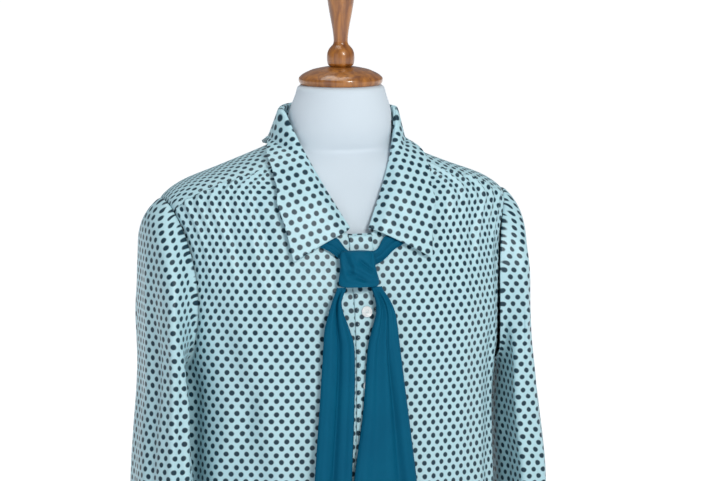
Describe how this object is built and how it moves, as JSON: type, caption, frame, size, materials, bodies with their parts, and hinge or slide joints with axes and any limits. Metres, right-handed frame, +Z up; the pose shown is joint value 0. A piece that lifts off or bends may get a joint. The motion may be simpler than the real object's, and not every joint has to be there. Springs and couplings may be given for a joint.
{
  "type": "tie neck blouse on a dress form",
  "caption": "Long-sleeved button-front blouse in dotted satin with an open pointed collar and a knotted scarf tie, on a limbless dress form with a turned wood cap and round stand",
  "frame": {"origin": "centre of the underside of the round base, where it rests", "axes": "+Z up, -Y to the front of the blouse, +X to the wearer's left"},
  "size_m": [0.5195, 0.3, 1.0097],
  "materials": {
    "blouse_print": "satin-faced woven cloth, pale mint with a small staggered dark teal dot",
    "tie_cloth": "plain teal crepe, softly matt",
    "form_jersey": "smooth white cotton jersey stretched over a foam body",
    "stand_wood": "turned and varnished amber wood",
    "button_pearl": "polished pearl white"
  },
  "bodies": {
    "root": {"front_left": "blouse_print", "front_right": "blouse_print", "back": "blouse_print", "yoke": "blouse_print", "collar": "blouse_print", "placket": "blouse_print", "sleeve_left": "blouse_print", "sleeve_right": "blouse_print", "cuff_left": "blouse_print", "cuff_right": "blouse_print", "button_1": "button_pearl", "button_2": "button_pearl", "button_3": "button_pearl", "button_4": "button_pearl", "button_5": "button_pearl", "tie_band": "tie_cloth", "tie_knot": "tie_cloth", "tie_tail_left": "tie_cloth", "tie_tail_right": "tie_cloth", "form_body": "form_jersey", "neck_cap": "stand_wood", "finial": "stand_wood", "pole": "stand_wood", "base": "stand_wood"}
  },
  "joints": []
}
